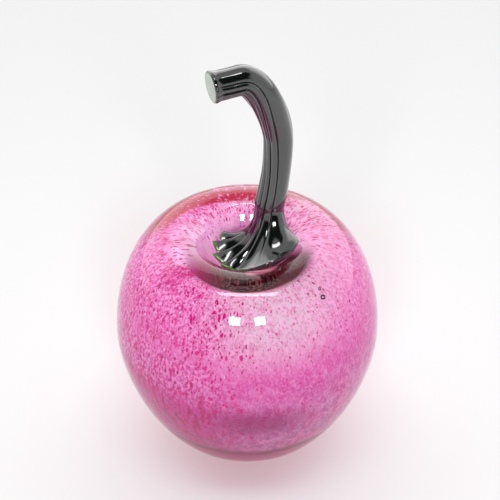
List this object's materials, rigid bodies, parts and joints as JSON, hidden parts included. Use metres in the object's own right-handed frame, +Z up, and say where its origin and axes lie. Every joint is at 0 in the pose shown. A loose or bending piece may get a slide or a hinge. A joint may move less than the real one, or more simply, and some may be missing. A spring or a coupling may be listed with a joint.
{
  "type": "glass cherry",
  "caption": "Hollow blown glass cherry ornament: pink speckled body cased in clear glass, with a dimple on top and a curved dark green ribbed glass stem. Stands on a flat base.",
  "frame": {"origin": "middle of the flat base, on the axis of the body", "axes": "+Z up along the axis of the body; -Y faces the viewer of the picture; +X to that viewer's right"},
  "size_m": [0.1, 0.1, 0.1673],
  "materials": {
    "clear_glass": "fire-polished, clear",
    "pink_glass": "pink powder with dark magenta grains, seen through the casing",
    "green_glass": "fire-polished, nearly opaque dark green"
  },
  "bodies": {
    "root": {"clear_casing": "clear_glass", "colour_layer": "pink_glass", "inner_bubble": "clear_glass", "stem": "green_glass"}
  },
  "joints": []
}
